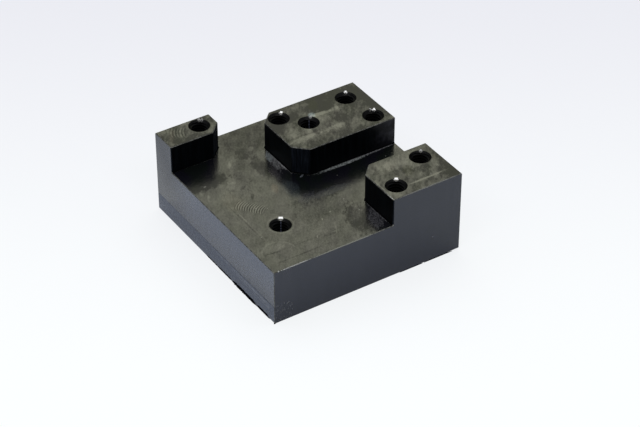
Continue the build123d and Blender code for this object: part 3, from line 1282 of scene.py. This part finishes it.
# %% Faces inside the holes
# A painted highlight runs down the far side of two holes, where the thread turns catch light.
# Its direction, half its width, its length:
bore_glint_holes = ("island_middle_hole", "floor_hole")
bore_glint_towards = math.radians(57)
bore_glint_half_width = 0.05
bore_glint_length = 3.2


def hole_finish(x, y, z, normal):
    """The finish of a face inside one of the holes, or None outside them."""
    for name, (hole_x, hole_y, hole_top) in holes.items():
        near = math.hypot(x - hole_x, y - hole_y) < mouth_radius + nick_reach + 0.05
        # A face of the hole looks in towards its middle line, a side of the block looks away
        facing = normal.x * (hole_x - x) + normal.y * (hole_y - y)
        if near and facing > -0.01:
            if normal.z > 0.999:
                return None
            if 0.6 < normal.z < 0.8 and z > hole_top - mouth_depth - 0.02:
                return "hole_mouths"
            turned = math.atan2(y - hole_y, x - hole_x) - bore_glint_towards
            on_line = abs(turned) < bore_glint_half_width and z > hole_top - bore_glint_length
            return "bore_glint" if on_line and name in bore_glint_holes else "threads"
    return None


# %% Every face
# How far in from the outer faces their cuts and worn corners reach
wear_reach = 0.2


def finish_of(centre, normal):
    """The name of the finish for a face, from where it lies and which way it looks."""
    x, y, z = centre
    inside = hole_finish(x, y, z, normal)
    if inside:
        return inside
    if normal.z > 0.999:
        return "milled_top" if z > floor_height + 1 else "milled_floor"
    if normal.z < -0.5:
        return "underside"
    on_left_or_front = x < low.x + wear_reach or y < low.y + wear_reach
    outside = on_left_or_front or x > high.x - 0.05 or y > high.y - 0.05
    upright = abs(normal.z) < 0.02
    if x < low.x + 0.16 and y < low.y + 0.16 and upright and -0.8 < normal.x < -0.6:
        return "edge_breaks"
    below_floor = z < floor_height - 0.3
    if below_floor and y < low.y + wear_reach and abs(normal.y) < 0.99 and normal.x > -0.9:
        return "bruises"
    if below_floor and x < low.x + wear_reach:
        return "left_side"
    if upright and outside and max(abs(normal.x), abs(normal.y)) > 0.99:
        return "left_side" if x < low.x + 0.05 else "other_sides"
    if upright and max(abs(normal.x), abs(normal.y)) < 0.9:
        return "pocket_corners"
    if not upright and (z > land_height - 0.3 or z < floor_height + 0.001 or outside):
        return "edge_breaks"
    return "pocket_walls" if upright else "wall_feet_shade"


# %% Sort the faces
block.data.materials.clear()
for material in finishes:
    block.data.materials.append(material)
tally = dict.fromkeys(names, 0)
for face in block.data.polygons:
    name = finish_of(face.center, face.normal)
    tally[name] += 1
    face.material_index = names.index(name)
    face.use_smooth = name in ("threads", "bore_glint")
print("faces per finish:", tally)
block.data.set_sharp_from_angle(angle=math.radians(30))
block.data.transform(Matrix.Scale(MM, 4))
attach(block, "root")
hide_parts("mounting_block")

# %% [markdown]
# ## The torn edge
#
# Along the bottom of the left side a saw or a dull cutter has torn the plastic, and a ragged
# black lip hangs there, with a thinner one at the right end of the front. The lip is matte black
# with almost no gloss, so it also stands in for the shaded gap under the edge: it is partly torn
# plastic and partly painted shade. The lip stands out from the block, so it is a shape of its
# own and not a pattern: short strips whose height and overhang are spoilt with noise. Pale
# crumbs of the same plastic still stick to the front edge of the floor.

# %% Torn strips
def torn_strip(side, start, end, height, overhang, seed):
    """A ragged lip of torn plastic along the bottom of the left or the front side."""
    def at(outward, along, z):
        if side == "left":
            return Vector((low.x - outward, along, z))
        return Vector((along, low.y - outward, z))

    sections = []
    step_length = 0.18
    steps = max(6, int(abs(end - start) / step_length))
    for i in range(steps + 1):
        t = i / steps
        along = start + (end - start) * t
        ends = min(1.0, 5 * t + 0.25, 5 * (1 - t) + 0.25)
        coarse = noise.noise(Vector((along * 1.3, seed, 0.0)))
        fine = noise.noise(Vector((along * 4.1, seed, 5.0)))
        top = height * ends * (1 + 0.5 * coarse + 0.35 * fine)
        out = overhang * ends * (1 + 0.6 * noise.noise(Vector((along * 2.2, seed, 9.0))))
        sections.append([
            at(-0.05, along, top),
            at(0.015, along, top),
            at(0.5 * out + 0.01, along, 0.6 * top),
            at(out, along, 0.08),
            at(0.8 * out, along, 0.0),
            at(-0.1, along, 0.0),
        ])
    return strip(sections)


# %% A piece of closed shapes
def solid_piece(name, shapes, material):
    """One object from closed shapes in millimetres, riding on the block."""
    mesh = bpy.data.meshes.new(name)
    mesh.from_pydata(*merged(shapes))
    work = bmesh.new()
    work.from_mesh(mesh)
    bmesh.ops.recalc_face_normals(work, faces=work.faces)
    work.to_mesh(mesh)
    work.free()
    mesh.transform(Matrix.Scale(MM, 4))
    mesh.materials.append(material)
    piece = bpy.data.objects.new(name, mesh)
    bpy.context.scene.collection.objects.link(piece)
    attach(piece, "root")
    print(f"{name}: {len(mesh.polygons)} faces")


# %% Hang the torn edge
solid_piece(
    "torn_edge",
    [
        torn_strip("left", 3.3, -1.2, 0.30, 0.05, 1.0),
        torn_strip("left", -1.0, -6.7, 0.38, 0.08, 2.0),
        torn_strip("left", -6.8, -16.3, 0.62, 0.22, 3.0),
        torn_strip("left", -16.2, -20.9, 0.60, 0.06, 4.0),
        torn_strip("front", 7.6, 13.2, 0.18, 0.02, 6.0),
        torn_strip("front", 13.6, 20.6, 0.24, 0.02, 7.0),
        lump((low.x + 0.10, low.y + 0.12, 0.10), (0.26, 0.20, 0.09), "Z", 30),
    ],
    # Matte black with almost no gloss: torn plastic that also stands in for the shaded gap under the edge,
    # as painted shade
    plain_plastic("torn_plastic_and_shade", (0.0008, 0.001, 0.0015), 0.9, specular=0.03),
)

# %% Crumbs
random.seed(5)
crumbs = [
    lump((-21.15, low.y + 0.03, floor_height - 0.03), (0.17, 0.12, 0.13)),
    lump((5.74, -22.25, land_height - 0.04), (0.10, 0.16, 0.06)),
    lump((5.76, -21.60, land_height - 0.04), (0.08, 0.12, 0.05)),
]
x = -20.5
while x < -13.8:
    size = random.uniform(0.05, 0.13)
    crumbs.append(lump((x, low.y + 0.06, floor_height - 0.06), (size, 0.06, 0.05)))
    x += 2 * size + random.uniform(0.1, 0.5)
solid_piece("crumbs", crumbs, plain_plastic("pale_crumbs", (0.42, 0.43, 0.42), 0.6))

# %% [markdown]
# ## Finish
#
# The view transform turns light into the values on the screen. The usual one rolls bright light
# off gently and would grey the white paper, so the plain one is chosen here. The torn edge may
# stand a little way out of the CAD box, and nothing else does by more than a hair.

# %% Finish
scene = bpy.context.scene
scene.view_settings.view_transform = "Standard"
